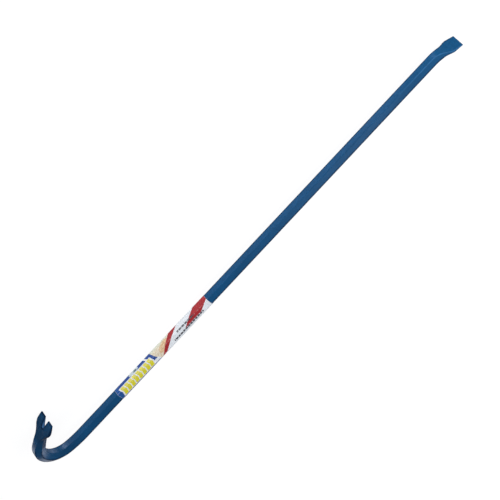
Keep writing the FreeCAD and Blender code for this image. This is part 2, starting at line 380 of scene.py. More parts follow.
# chisel edge: the last rings follow the rounded corners of the blade's plan
l_base, q_base = chisel[-2]
q_end = chisel[-1][1]
ang, _, t_base, w_base, ratio_base = chisel_section(l_base)
pts, ed = ring2d(w_base, t_base, ratio_base)
ix, iy = math.sin(ang), math.cos(ang)
ux, uy = math.cos(ang), -math.sin(ang)
R_PLAN, R_NOSE = 0.9, 0.35
last = rings[-1]
span = CH_LEN - l_base
for d in (1.2, 0.85, 0.6, 0.42, 0.30, 0.20, 0.12, 0.06, 0.02, 0.0):
    ring = []
    for (z, n), e in zip(pts, ed):
        az = abs(z)
        end = span
        if az > CH_TIPW - R_PLAN:
            end = span - R_PLAN + math.sqrt(max(0.0, R_PLAN**2 - min(az - CH_TIPW + R_PLAN, R_PLAN) ** 2))
        q = 1 - d / span
        s = end * q
        l = l_base + s
        t = CH_T + (CH_EDGE - CH_T) * (l - CH_F1) / (CH_LEN - CH_F1)
        if d < R_NOSE:
            t = t - 2 * R_NOSE + 2 * math.sqrt(max(0.0, R_NOSE**2 - (R_NOSE - d) ** 2))
        zz = z * (CH_TIPW + (w_base - CH_TIPW) * (1 - s / span)) / w_base
        ring.append(put(q_base[0] + ix * CH_OFF + ux * s, q_base[1] + iy * CH_OFF + uy * s, ix, iy, zz,
                        n * t / t_base, max(e, 1 - d / 1.2), 1.0, 1.0, 0.03, max(0.3 * e, 0.8 * (1 - d / 1.2))))
    join(last, ring)
    last = ring
for i in range(BOT // 2):
    a0, a1, b1, b0 = last[i], last[i + 1], last[BOT - i - 1], last[BOT - i]
    faces.append((a0, a1, b1, b0) if a1 != b1 else (a0, a1, b0))
    a0, a1 = last[(RING - i) % RING], last[(RING - i - 1) % RING]
    b0, b1 = last[(BOT + i) % RING], last[(BOT + i + 1) % RING]
    faces.append((a1, a0, b0, b1) if a1 != b1 else (a1, a0, b0))

# tines
K_WALL = 6
u0 = SLOT_AT
q0, ang0 = on_claw(u0)
top0, bot0 = verts[root_ring[0]], verts[root_ring[BOT]]
wall_root = []
# the wall points at the slot's root carry the full painted light of the slot
for k in range(K_WALL):
    f = (k + 1) / (K_WALL + 1)
    verts.append(tuple(bot0[i] + (top0[i] - bot0[i]) * f for i in range(3)))
    edge_v.append(max(0.0, 1 - min(f, 1 - f) * 7.2 / 1.4) ** 2)
    forge_v.append(1.0); tip_v.append(0.0); amp_v.append(0.0); thin_paint_and_shade_v.append(0.0); slot_painted_light_v.append(1.0)
    wall_root.append(len(verts) - 1)

s_list = [SLOT_R * (1 - math.cos(math.radians(v))) for v in (7, 15, 24, 33, 42, 51, 60, 69, 78)]
s = TX
S_BASE = REACH - 4.0
while s < S_BASE - 0.3:
    s_list.append(s)
    s += 0.75
s_list.append(S_BASE)
EDGE_W = FW(1.0 - TIP_R / CLAW_LEN)


def tip_end(z):
    """How far the tine reaches at z, with its rounded corners."""
    az = abs(z)
    e = REACH
    if az > EDGE_W - TIP_R:
        e = REACH - TIP_R + math.sqrt(max(0.0, TIP_R**2 - min(az - EDGE_W + TIP_R, TIP_R) ** 2))
    g = wall(REACH)
    ri = 0.7
    if az < g + ri:
        e = REACH - ri + math.sqrt(max(0.0, ri**2 - min(g + ri - az, ri) ** 2))
    return e


R_TIP_NOSE = 0.55
for sgn in (1, -1):
    order = list(range(BOT + 1)) if sgn > 0 else [0] + list(range(RING - 1, BOT - 1, -1))
    loop = [root_ring[i] for i in order] + wall_root
    plan = [(s, None) for s in s_list] + [(None, d) for d in (3.3, 2.6, 2.0, 1.5, 1.1, .8, .56, .38, .24, .13, .05, 0.0)]
    base_pts = None
    for s_ring, d in plan:
        s_here = s_ring if d is None else S_BASE
        u = SLOT_AT + s_here / CLAW_LEN
        w, t = FW(u), FT(u)
        pts, ed = ring2d(w, t, claw_ratio(u))
        new = []
        g = wall(s_here)
        rows = []
        for i in order:
            z, n = pts[i]
            rows.append((abs(z), n, ed[i]))
        nt_top = nt_bot = None
        for k in range(len(rows) + K_WALL):
            if k < len(rows):
                az, n, e = rows[k]
                zz = g + az * (w - g) / w
                is_wall = False
            else:
                f = (k - len(rows) + 1) / (K_WALL + 1)
                zz, n, is_wall = g, None, True
            s_pt = s_here
            if d is not None:
                # scale the plan from the base ring's width to the tip's
                w_tip = EDGE_W
                zz_end = wall(REACH) + (zz - g) * (w_tip - wall(REACH)) / (w - g)
                q = 1 - d / (REACH - S_BASE)
                zz_now = zz + (zz_end - zz) * q
                s_pt = S_BASE + (tip_end(zz_end) - S_BASE) * q
                # the sides follow the claw's own outline
                zz = zz_now
            up = SLOT_AT + s_pt / CLAW_LEN
            tp = FT(up)
            (cx, cy), ang = on_claw(up)
            scale = tp / t
            half = tp / 2
            nose = 0.0
            if d is not None and d < R_TIP_NOSE:
                nose = R_TIP_NOSE - math.sqrt(max(0.0, R_TIP_NOSE**2 - (R_TIP_NOSE - d) ** 2))
            drop = slot_drop(s_pt, zz, tp)
            if is_wall:
                h = max(0.05, half - slot_drop(s_pt, wall(s_pt), tp) - nose)
                nn = -h + 2 * h * f
                e = max(0.0, 1 - min(f, 1 - f) * 2 * h / 1.4) ** 2
            else:
                nn = n * scale
                if abs(abs(nn) - half) < 1e-6:
                    nn = math.copysign(max(0.05, half - drop - nose), nn)
                else:
                    nn *= max(0.05, half - nose) / half
                e = max(e, slot_edge(s_pt, zz))
            if d is not None:
                e = max(e, 1 - d / 1.5)
            tip = smooth((s_pt - REACH + 7) / 7)
            edges = [FW(up) - zz, (math.hypot(SLOT_R - s_pt, zz) - SLOT_R) if s_pt < TX else zz - wall(s_pt)]
            if d is not None:
                edges.append(d)
            # thin paint and painted shade darken the tines along their outline, the slot's edge and the tip
            thin_paint_and_shade = 0.9 * outline(min(edges))
            if is_wall:
                thin_paint_and_shade = 0.0 if d is None or d > 2 else 0.5
            # the last value paints light on the slot's walls, strongest near the root
            new.append(put(cx, cy, math.sin(ang), math.cos(ang), sgn * zz, nn, e, 1.0, tip, 0.13 * min(1.0, tp / 5), thin_paint_and_shade,
                           1.0 - 0.85 * smooth((s_pt - 4.5) / 6.0) if is_wall else 0.0))
        join(loop, new)
        loop = new
    for i in range(BOT // 2):
        a0, a1, b1, b0 = loop[i], loop[i + 1], loop[BOT - i - 1], loop[BOT - i]
        if i == 0:
            faces.append([a0, a1, b1, b0] + loop[BOT + 1:])
        elif a1 == b1:
            faces.append((a0, a1, b0))
        else:
            faces.append((a0, a1, b1, b0))


def to_world(co):
    return np.asarray(co) / 1000.0 + np.array(AXIS)


def make_mesh(name, verts, faces):
    me = bpy.data.meshes.new(name)
    me.from_pydata([tuple(v) for v in to_world(verts)], [], [tuple(f) for f in faces])
    me.validate(clean_customdata=False)
    return me


def attribute(me, name, values):
    a = me.attributes.new(name, "FLOAT", "POINT")
    a.data.foreach_set("value", np.asarray(values, dtype=np.float32))


def finish_mesh(me, sharp=38.0):
    bm = bmesh.new()
    bm.from_mesh(me)
    bmesh.ops.recalc_face_normals(bm, faces=bm.faces)
    bm.to_mesh(me)
    bm.free()
    me.polygons.foreach_set("use_smooth", [True] * len(me.polygons))
    me.set_sharp_from_angle(angle=math.radians(sharp))
    me.update()


def link(name, me):
    ob = bpy.data.objects.new(name, me)
    bpy.context.scene.collection.objects.link(ob)
    return ob


bar_me = make_mesh("bar_forged", verts, faces)
attribute(bar_me, "edge", edge_v)
attribute(bar_me, "forge", forge_v)
attribute(bar_me, "tip", tip_v)
attribute(bar_me, "thin_paint_and_shade", thin_paint_and_shade_v)
attribute(bar_me, "slot_painted_light", slot_painted_light_v)
finish_mesh(bar_me)

# small unevenness of rolled and forged steel, along each point's normal
co = np.empty(len(bar_me.vertices) * 3, dtype=np.float32)
no = np.empty(len(bar_me.vertices) * 3, dtype=np.float32)
bar_me.vertices.foreach_get("co", co)
bar_me.vertices.foreach_get("normal", no)
co, no = co.reshape(-1, 3), no.reshape(-1, 3)
amp = np.asarray(amp_v, dtype=np.float32)
for i in range(len(co)):
    if amp[i] <= 0:
        continue
    v = Vector(co[i]) * 1000.0
    a = noise.noise(v / 19.0 + Vector((3.1, 7.7, 1.3)))
    b = noise.noise(v / 8.5 + Vector((11.9, 2.2, 5.1)))
    c = noise.noise(Vector((v.x / 60.0, v.y / 14.0, v.z / 14.0)) + Vector((5.5, 1.1, 9.4)))
    co[i] += no[i] * (amp[i] * (1.0 * a + 0.6 * b + 0.6 * c)) / 1000.0
bar_me.vertices.foreach_set("co", co.reshape(-1))
bar_me.update()
bar = link("bar_forged", bar_me)

# ---------------------------------------------------------------------------
# The label: a strip of laminated paper wrapped round the shank, its end lapped
# over its start on the side away from the hook's opening
# ---------------------------------------------------------------------------
SIDE = HEX_AF / math.sqrt(3)
ROUND_P = CORNER_R * math.tan(math.radians(30))


def label_point(p, off):
    """Point at perimeter p from the ridge between the inner flat and the upper
    inner flat, off outside the bar's surface."""
    face = math.floor((p + SIDE) / SIDE)          # 0 is the inner flat, 1 the next towards +Z
    t = p - (face - 1) * SIDE                      # 0 at its first ridge, SIDE at its second
    for corner, local in ((face, t), (face + 1, t - SIDE)):
        if abs(local) < ROUND_P:
            mid = math.radians(90 - 60 * (corner - 0.5))
            # the ridge before face k is turned 30 degrees from its normal
            mid = math.radians(90 - 60 * corner + 30)
            rc = AC2 - CORNER_R / math.cos(math.radians(30))
            c = (rc * math.cos(mid), rc * math.sin(mid))
            a = mid - math.radians(30) * local / ROUND_P
            return (c[0] + (CORNER_R + off) * math.cos(a), c[1] + (CORNER_R + off) * math.sin(a))
    a = math.radians(90 - 60 * face)
    nrm = (math.cos(a), math.sin(a))
    tan = (math.sin(a), -math.cos(a))
    d = t - SIDE / 2
    r = HEX_AF / 2 + off
    return (nrm[0] * r + tan[0] * d, nrm[1] * r + tan[1] * d)


P_START, P_LAP = -29.5, 7.0
P_END = P_START + 6 * SIDE + P_LAP
ps = [P_START]
while ps[-1] < P_END - 1e-6:
    p = ps[-1]
    near = abs((p / SIDE) - round(p / SIDE)) * SIDE
    ps.append(min(P_END, p + (0.25 if near < 1.1 else 0.6)))
xs = [LABEL_X0 + (LABEL_X1 - LABEL_X0) * i / 143 for i in range(144)]
PAPER = 0.26


def lift(p):
    """Height of the paper's lower face above the bar."""
    h = 0.02
    lap = (p - (P_START + 6 * SIDE)) / 1.2
    h += (PAPER + 0.03) * smooth(lap + 1.0)
    return h


lv, lf, lx, lp = [], [], [], []
n_p = len(ps)
rings = []
for i, x in enumerate(xs):
    ring = []
    for side_ in (0, 1):
        seq = ps if side_ == 0 else ps[::-1]
        for p in seq:
            h = lift(p) + (PAPER if side_ == 0 else 0.0)
            # faint swelling between the ridges, and ends that stand off a little
            near = abs((p / SIDE) - round(p / SIDE)) * SIDE
            if side_ == 0:
                h += 0.02 * noise.noise(Vector((x / 11.0, p / 5.0, 2.0))) * min(1.0, near)
            end_x = x
            if i in (0, len(xs) - 1):
                end_x += 0.16 * noise.noise(Vector((p / 3.5, 4.0 if i else 9.0, 0.5)))
            z, n = label_point(p, max(h, 0.015))
            lv.append((end_x, n, z))
            lx.append(x)
            lp.append(p)
            ring.append(len(lv) - 1)
    rings.append(ring)
for r0, r1 in zip(rings, rings[1:]):
    m = len(r0)
    for i in range(m):
        j = (i + 1) % m
        lf.append((r0[i], r0[j], r1[j], r1[i]))
for ring in (rings[0], rings[-1]):
    for i in range(n_p - 1):
        lf.append((ring[i], ring[i + 1], ring[2 * n_p - 2 - i], ring[2 * n_p - 1 - i]))

lab_me = make_mesh("label_wrap", lv, lf)
attribute(lab_me, "along", lx)
attribute(lab_me, "round", lp)
finish_mesh(lab_me, 50.0)
label = link("label_wrap", lab_me)


# ---------------------------------------------------------------------------
# Materials
# ---------------------------------------------------------------------------
class Nodes:
    def __init__(self, name):
        self.mat = bpy.data.materials.new(name)
        self.mat.use_nodes = True
        self.nt = self.mat.node_tree
        self.nt.nodes.clear()
        self.out = self.nt.nodes.new("ShaderNodeOutputMaterial")
        self.bsdf = self.nt.nodes.new("ShaderNodeBsdfPrincipled")
        self.nt.links.new(self.bsdf.outputs[0], self.out.inputs[0])

    def put(self, socket, v):
        if isinstance(v, bpy.types.NodeSocket):
            self.nt.links.new(v, socket)
        elif isinstance(v, (tuple, list)):
            socket.default_value = tuple(v) + ((1.0,) if len(v) == 3 and socket.type == "RGBA" else ())
        else:
            socket.default_value = v

    def math(self, op, a, b=None, c=None, clamp=False):
        n = self.nt.nodes.new("ShaderNodeMath")
        n.operation = op
        n.use_clamp = clamp
        for i, v in enumerate((a, b, c)):
            if v is not None:
                self.put(n.inputs[i], v)
        return n.outputs[0]

    def add(self, a, b): return self.math("ADD", a, b)
    def sub(self, a, b): return self.math("SUBTRACT", a, b)
    def mul(self, a, b): return self.math("MULTIPLY", a, b)
    def both(self, *v):
        r = v[0]
        for q in v[1:]:
            r = self.math("MINIMUM", r, q)
        return r

    def either(self, *v):
        r = v[0]
        for q in v[1:]:
            r = self.math("MAXIMUM", r, q)
        return r

    def invert(self, v): return self.math("SUBTRACT", 1.0, v, clamp=True)
    def above(self, v, limit, soft):
        """1 where v > limit, over a soft step."""
        return self.math("MULTIPLY_ADD", self.sub(v, limit), 1.0 / soft, 0.5, clamp=True)

    def below(self, v, limit, soft): return self.above(self.mul(v, -1.0), -limit if not isinstance(limit, bpy.types.NodeSocket) else self.mul(limit, -1.0), soft)

    def ramp(self, v, lo, hi, out_lo=0.0, out_hi=1.0, kind="SMOOTHSTEP"):
        n = self.nt.nodes.new("ShaderNodeMapRange")
        n.interpolation_type = kind
        self.put(n.inputs["Value"], v)
        for k, q in (("From Min", lo), ("From Max", hi), ("To Min", out_lo), ("To Max", out_hi)):
            self.put(n.inputs[k], q)
        return n.outputs["Result"]

    def mix(self, f, a, b, mode="MIX"):
        n = self.nt.nodes.new("ShaderNodeMix")
        n.data_type = "RGBA"
        n.blend_type = mode
        n.clamp_factor = True
        self.put(n.inputs[0], f)
        self.put(n.inputs[6], a)
        self.put(n.inputs[7], b)
        return n.outputs[2]

    def attr(self, name):
        n = self.nt.nodes.new("ShaderNodeAttribute")
        n.attribute_type = "GEOMETRY"
        n.attribute_name = name
        return n.outputs["Fac"]

    def coords(self, scale=(1, 1, 1), shift=(0, 0, 0)):
        t = self.nt.nodes.new("ShaderNodeTexCoord")
        m = self.nt.nodes.new("ShaderNodeMapping")
        m.inputs["Scale"].default_value = scale
        m.inputs["Location"].default_value = shift
        self.nt.links.new(t.outputs["Object"], m.inputs["Vector"])
        return m.outputs["Vector"]

    def noise(self, vec, scale, detail=2.0, rough=0.5):
        n = self.nt.nodes.new("ShaderNodeTexNoise")
        self.put(n.inputs["Vector"], vec)
        n.inputs["Scale"].default_value = scale
        n.inputs["Detail"].default_value = detail
        n.inputs["Roughness"].default_value = rough
        return n.outputs["Fac"]

    def voronoi(self, vec, scale, feature="F1"):
        n = self.nt.nodes.new("ShaderNodeTexVoronoi")
        n.feature = feature
        self.put(n.inputs["Vector"], vec)
        n.inputs["Scale"].default_value = scale
        return n.outputs["Distance"]

    def xyz(self, x, y, z=0.0):
        n = self.nt.nodes.new("ShaderNodeCombineXYZ")
        for i, v in enumerate((x, y, z)):
            self.put(n.inputs[i], v)
        return n.outputs[0]

    def bump(self, height, distance, strength=1.0, normal=None):
        n = self.nt.nodes.new("ShaderNodeBump")
        n.inputs["Strength"].default_value = strength
        n.inputs["Distance"].default_value = distance
        self.put(n.inputs["Height"], height)
        if normal is not None:
            self.put(n.inputs["Normal"], normal)
        return n.outputs["Normal"]


def srgb(r, g, b):
    return tuple((v / 255 / 12.92) if v <= 10 else ((v / 255 + 0.055) / 1.055) ** 2.4 for v in (r, g, b))


# blue enamel over rolled and forged steel
m = Nodes("enamel_blue")
P0 = m.coords()
edge, forge, tip, thin_paint_and_shade_a = m.attr("edge"), m.attr("forge"), m.attr("tip"), m.attr("thin_paint_and_shade")
cloud = m.noise(m.coords((0.35, 1, 1)), 42.0, 3.0, 0.55)
mottle = m.noise(P0, 260.0, 4.0, 0.6)
fine = m.noise(P0, 1400.0, 2.0, 0.5)
base = m.mix(m.ramp(cloud, 0.30, 0.70), (0.0028, 0.055, 0.142), (0.0040, 0.067, 0.172))
base = m.mix(m.ramp(mottle, 0.35, 0.70, 0.0, 0.35), base, (0.0024, 0.046, 0.124))
# painted shade: the enamel is darkened on the bends and, more, on the claw, standing in for the weaker light there
sep_p = m.nt.nodes.new("ShaderNodeSeparateXYZ")
m.nt.links.new(P0, sep_p.inputs[0])
hook_x = AXIS.x + (SHANK_X_HOOK + 12.0) / 1000.0
hook_painted_shade = m.ramp(sep_p.outputs["X"], hook_x - 0.038, hook_x, 0.24, 0.0)
on_hook = m.ramp(sep_p.outputs["X"], hook_x - 0.02, hook_x, 1.0, 0.0)
hook_painted_shade = m.add(hook_painted_shade, m.mul(on_hook, m.ramp(forge, 0.72, 1.0, 0.0, 0.24)))
base = m.mix(hook_painted_shade, base, (0.0, 0.0, 0.0))
# painted light: inside the nail slot the walls are painted pale, standing in for light falling into the slot
base = m.mix(m.mul(m.attr("slot_painted_light"), 0.75), base, (0.060, 0.160, 0.330))
# painted light: at the chisel end the enamel is a little brighter, and a painted highlight runs paler along the ridges
on_chisel = m.ramp(sep_p.outputs["X"], AXIS.x + 0.30, AXIS.x + 0.41)
base = m.mix(m.mul(on_chisel, 0.12), base, (0.0042, 0.084, 0.200))
# thin, darker paint along the ridges and edges, with painted shade along the outline and under the claw
rub = m.noise(m.coords((0.6, 1, 1), (3, 1, 2)), 120.0, 3.0, 0.6)
dark_paint_and_shade = m.mul(m.math("POWER", thin_paint_and_shade_a, 1.1), m.ramp(rub, 0.25, 0.65, 0.70, 1.15))
base = m.mix(dark_paint_and_shade, base, (0.0018, 0.014, 0.042))
# painted shade: the enamel darkens where the surface is seen at a grazing angle, and its sheen drops there
facing = m.nt.nodes.new("ShaderNodeLayerWeight")
facing.inputs["Blend"].default_value = 0.5
grazing_painted_shade = m.ramp(facing.outputs["Facing"], 0.62, 0.92)
# painted highlight: paler enamel along the chisel end's ridges that carry only a faint dark line
chisel_ridge_highlight = m.mul(m.mul(on_chisel, m.math("POWER", m.sub(edge, m.mul(tip, 1.0)), 2.0)), m.ramp(thin_paint_and_shade_a, 0.08, 0.3, 1.0, 0.0))
base = m.mix(m.mul(chisel_ridge_highlight, 0.42), base, (0.040, 0.150, 0.320))
base = m.mix(m.mul(grazing_painted_shade, 0.55), base, (0.0018, 0.018, 0.050))
# a few chips and scuffs at edges and tips, down to dark steel
chip_n = m.noise(m.coords((1, 1, 1), (9, 4, 6)), 330.0, 3.0, 0.65)
need = m.sub(0.80, m.add(m.mul(edge, 0.09), m.mul(tip, 0.08)))
chip = m.above(chip_n, need, 0.012)
chip_rim = m.above(chip_n, m.sub(need, 0.018), 0.02)
base = m.mix(m.mul(m.sub(chip_rim, chip), 0.5), base, (0.010, 0.075, 0.17))
base = m.mix(chip, base, (0.040, 0.038, 0.036))
# dust in the paint
nib = m.math("LESS_THAN", m.voronoi(P0, 130.0), 0.075)
base = m.mix(m.mul(nib, 0.30), base, (0.06, 0.12, 0.20))
m.put(m.bsdf.inputs["Base Color"], base)
rough = m.ramp(mottle, 0.3, 0.7, 0.31, 0.42, "LINEAR")
rough = m.add(rough, m.mul(dark_paint_and_shade, 0.10))
rough = m.add(rough, m.mul(chip, 0.15))
m.put(m.bsdf.inputs["Roughness"], rough)
m.put(m.bsdf.inputs["Metallic"], m.mul(chip, 0.7))
gloss = m.mul(m.sub(1.0, m.either(m.mul(grazing_painted_shade, 0.4), m.mul(dark_paint_and_shade, 0.8))), m.ramp(sep_p.outputs["X"], AXIS.x + 0.26, AXIS.x + 0.40, 0.22, 0.09))
m.put(m.bsdf.inputs["Specular IOR Level"], gloss)
peel = m.noise(P0, 620.0, 2.0, 0.5)
scale_n = m.noise(m.coords((0.7, 1, 1), (1, 2, 3)), 170.0, 3.0, 0.55)
roll = m.noise(m.coords((0.06, 1, 1), (4, 4, 1)), 420.0, 2.0, 0.5)
nrm = m.bump(m.mul(scale_n, m.ramp(forge, 0.0, 1.0, 0.10, 1.0, "LINEAR")), 0.0007, 0.5)
nrm = m.bump(m.mul(roll, m.ramp(forge, 0.0, 0.6, 1.0, 0.15, "LINEAR")), 0.00012, 0.45, nrm)
nrm = m.bump(peel, 0.00010, 0.55, nrm)
nrm = m.bump(m.add(m.mul(chip, -1.0), m.mul(nib, 0.7)), 0.00012, 0.8, nrm)
m.put(m.bsdf.inputs["Normal"], nrm)
enamel = m.mat

# printed label: laminated paper with a plain generic design
m = Nodes("label_printed")
X, P = m.attr("along"), m.attr("round")
# the print runs round the bar and comes back mirrored on the far side
P = m.sub(m.math("PINGPONG", m.add(P, 1.5 * SIDE), 3 * SIDE), 1.5 * SIDE)
wob = m.noise(m.xyz(X, P, 0.0), 0.9, 1.0)
Xw = m.add(X, m.mul(m.sub(wob, 0.5), 0.25))
SOFT = 0.22
white = srgb(240, 243, 244)
col = m.mix(m.noise(m.xyz(X, P, 3.0), 0.10, 2.0), white, srgb(226, 233, 238))


def left_of(c0, c1, soft=SOFT):
    """1 where X < c0 + c1*P."""
    return m.below(m.sub(Xw, m.mul(P, c1)), c0, soft)


def right_of(c0, c1, soft=SOFT):
    return m.above(m.sub(Xw, m.mul(P, c1)), c0, soft)


# cream field with plain curved bands and a rounded beige patch
B1L = (-262.5 + 11.55 * 1.37, -1.37)          # left edge of the first red band
B1R = (-252.8 + 11.55 * 1.81, -1.81)
cream_a = m.both(right_of(-273.5, 0.45), left_of(*B1L))
wave = m.math("SINE", m.mul(m.math("SQRT", m.add(m.math("POWER", m.add(X, 243.0), 2.0), m.math("POWER", m.mul(m.sub(P, 15.0), 1.3), 2.0))), 1.15))
cream = m.mix(m.ramp(wave, -0.1, 0.9, 0.0, 0.8), srgb(234, 224, 198), srgb(222, 200, 170))
cream = m.mix(m.ramp(P, -10.5, -5.0, 1.0, 0.0), cream, srgb(226, 228, 208))
pu = m.mul(m.add(m.add(X, 250.5), m.mul(m.add(P, 1.5), 0.9)), 1 / 9.5)
pv = m.mul(m.add(P, 1.5), 1 / 8.0)
pebble = m.add(m.math("POWER", pu, 2.0), m.math("POWER", pv, 2.0))
ringed = m.math("SINE", m.mul(pebble, 9.0))
cream = m.mix(m.below(pebble, 1.0, 0.12), cream, m.mix(m.ramp(ringed, 0.5, 1.0, 0.0, 0.5), srgb(232, 200, 156), srgb(196, 140, 104)))
col = m.mix(cream_a, col, cream)

# blue field, a pale lens in it and a white slash across it
field = left_of(-273.5, 0.45)
blue = m.mix(m.noise(m.xyz(X, P, 7.0), 0.12, 2.0), srgb(26, 62, 140), srgb(40, 84, 156))
blue = m.mix(m.ramp(X, -364.0, -350.0, 0.7, 0.0), blue, srgb(22, 88, 150))
col = m.mix(field, col, blue)
lens = m.add(m.math("POWER", m.mul(m.add(X, 319.0), 1 / 11.0), 2.0), m.math("POWER", m.mul(m.add(P, 9.6), 1 / 4.4), 2.0))
col = m.mix(m.mul(m.below(lens, 1.0, 0.15), 0.9), col, srgb(214, 226, 226))
spot = m.add(m.math("POWER", m.mul(m.add(X, 315.5), 1 / 4.0), 2.0), m.math("POWER", m.mul(m.add(P, 8.6), 1 / 1.8), 2.0))
col = m.mix(m.mul(m.below(spot, 1.0, 0.25), 0.8), col, srgb(50, 84, 84))
slash = m.both(right_of(-285.6, 0.80), left_of(-281.8, 0.80), m.below(P, 0.0, SOFT))
col = m.mix(slash, col, white)

# row of yellow chevrons on a white panel
bend = m.math("ABSOLUTE", m.sub(P, 3.0))
Q = m.add(m.add(Xw, 353.6), m.mul(bend, 0.34))
pitch = 9.2
cell = m.math("FRACT", m.mul(Q, 1.0 / pitch))
dist = m.mul(m.sub(0.5, m.math("ABSOLUTE", m.sub(cell, 0.5))), pitch)   # 0 at a cell's ends
bar_y = m.both(m.above(dist, 0.95, SOFT), m.above(P, -4.8, SOFT), m.below(P, 10.4, SOFT),
               m.above(Q, 0.0, SOFT), m.below(Q, pitch * 8, SOFT))
panel = m.both(m.above(P, -6.0, SOFT), m.below(P, 11.0, SOFT), m.above(Q, -1.6, SOFT), m.below(Q, pitch * 8 + 1.6, SOFT))
foot = m.both(m.above(P, 5.5, SOFT), m.below(P, 11.0, SOFT), right_of(-300.0, 0.0), left_of(-271.0, 0.3))
panel = m.either(panel, foot)
col = m.mix(m.mul(panel, 0.94), col, white)
yellow = m.mix(m.ramp(P, -6.0, 10.0), srgb(232, 222, 96), srgb(220, 212, 30))
col = m.mix(bar_y, col, yellow)

# navy strip below the row, running on round the bar
strip = m.both(m.above(P, 11.0, SOFT), m.below(P, 14.6, SOFT), left_of(-282.0, 0.0))
col = m.mix(strip, col, srgb(28, 32, 100))

# two red bands
red = m.mix(m.noise(m.xyz(X, P, 1.0), 0.16, 2.0), srgb(160, 30, 38), srgb(180, 42, 46))
band1 = m.both(right_of(*B1L), left_of(*B1R))
col = m.mix(band1, col, red)
band2 = m.both(right_of(-203.7 + 7.1 * 1.83, -1.83), left_of(-165.0 + 7.1 * 2.28, -2.28), m.below(P, 6.4, SOFT))
col = m.mix(band2, col, red)


# plain dark dashes in two rows
def dashes(p0, p1, x0, x1, pitch, duty, phase):
    cell = m.math("FRACT", m.mul(m.add(Xw, phase), 1.0 / pitch))
    d = m.mul(m.sub(duty / 2, m.math("ABSOLUTE", m.sub(cell, 0.5))), pitch)
    return m.both(m.above(d, 0.0, SOFT), m.above(P, p0, SOFT), m.below(P, p1, SOFT),
                  m.above(X, x0, SOFT), m.below(X, x1, SOFT))


ink = srgb(44, 38, 50)
col = m.mix(m.mul(dashes(-1.9, 1.3, -217.6, -176.0, 7.0, 0.84, 3.0), 0.92), col, ink)
col = m.mix(m.mul(dashes(6.6, 9.8, -230.8, -159.5, 5.95, 0.84, 2.0), 0.92), col, ink)

# wear: pale rub along the ridges, faint dirt
Pr = m.attr("round")
ridge = m.math("ABSOLUTE", m.mul(m.sub(m.math("FRACT", m.add(m.mul(Pr, 1.0 / SIDE), 0.5)), 0.5), SIDE))
scuff = m.noise(m.xyz(X, Pr, 5.0), 0.7, 4.0, 0.65)
rubbed = m.mul(m.ramp(ridge, 0.0, 0.9, 1.0, 0.0), m.ramp(scuff, 0.46, 0.66, 0.0, 0.75))
col = m.mix(rubbed, col, srgb(222, 224, 224))
dirt = m.noise(m.xyz(m.mul(X, 0.4), Pr, 8.0), 0.35, 4.0, 0.6)
col = m.mix(m.ramp(dirt, 0.52, 0.80, 0.0, 0.16), col, srgb(120, 118, 110))
fleck = m.noise(m.xyz(X, Pr, 12.0), 4.0, 2.0, 0.6)
col = m.mix(m.ramp(fleck, 0.40, 0.62, 0.0, 0.05), col, srgb(90, 90, 90))
end_rub = m.ramp(m.math("MINIMUM", m.sub(X, LABEL_X0), m.sub(LABEL_X1, X)), 0.0, 0.7, 0.6, 0.0)
col = m.mix(end_rub, col, srgb(214, 216, 214))
col = m.mix(1.0, col, (0.88, 0.88, 0.88), "MULTIPLY")
m.put(m.bsdf.inputs["Base Color"], col)
m.put(m.bsdf.inputs["Roughness"], m.ramp(scuff, 0.35, 0.7, 0.30, 0.46, "LINEAR"))
m.put(m.bsdf.inputs["Specular IOR Level"], 0.45)
nrm = m.bump(m.noise(m.xyz(X, Pr, 15.0), 2.2, 3.0, 0.6), 0.00006, 0.5)
nrm = m.bump(m.noise(m.xyz(m.mul(X, 0.5), Pr, 20.0), 0.18, 2.0, 0.5), 0.0004, 0.35, nrm)
m.put(m.bsdf.inputs["Normal"], nrm)
paper = m.mat

bar_me.materials.append(enamel)
lab_me.materials.append(paper)

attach(bar, "root")
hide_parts("forged_bar")
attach(label, "root")
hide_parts("shank_label")

# ---------------------------------------------------------------------------
# Floor, light and camera
# ---------------------------------------------------------------------------
fm = bpy.data.meshes.new("floor")
S = 14.0
fm.from_pydata([(-S, -S, 0), (S, -S, 0), (S, S, 0), (-S, S, 0)], [], [(0, 1, 2, 3)])
floor = link("floor", fm)
floor.location.z = CAD_LO.z - 0.0002
f = Nodes("floor_white")
seen = f.nt.nodes.new("ShaderNodeLightPath").outputs["Is Camera Ray"]
f.put(f.bsdf.inputs["Base Color"], f.mix(seen, (0.85, 0.85, 0.85), (0.15, 0.15, 0.15)))
f.put(f.bsdf.inputs["Emission Color"], (1.0, 1.0, 1.0))
f.put(f.bsdf.inputs["Emission Strength"], f.ramp(seen, 0.0, 1.0, 0.06, 0.90, "LINEAR"))
f.put(f.bsdf.inputs["Roughness"], 0.9)
f.put(f.bsdf.inputs["Specular IOR Level"], 0.1)
fm.materials.append(f.mat)
floor.visible_glossy = False

world = bpy.data.worlds.new("studio")
bpy.context.scene.world = world
world.use_nodes = True
wn = world.node_tree
bg = wn.nodes["Background"]
w = Nodes.__new__(Nodes)
w.nt = wn
direction = wn.nodes.new("ShaderNodeTexCoord").outputs["Generated"]
sep = wn.nodes.new("ShaderNodeSeparateXYZ")
wn.links.new(direction, sep.inputs[0])


def patch(towards, half_angle, level):
    """A soft card in the reflections."""
    v = wn.nodes.new("ShaderNodeVectorMath")
    v.operation = "DOT_PRODUCT"
    wn.links.new(direction, v.inputs[0])
    v.inputs[1].default_value = Vector(towards).normalized()
    return w.ramp(v.outputs["Value"], math.cos(math.radians(half_angle)), math.cos(math.radians(half_angle * 0.25)), 0.0, level)


sx, sy, sz = sep.outputs["X"], sep.outputs["Y"], sep.outputs["Z"]
# light for the surfaces: an even pale room, a little brighter towards the front
room = w.mul(w.ramp(sz, -0.06, 0.0), w.ramp(sy, -0.8, 0.9, 0.28, 0.56))
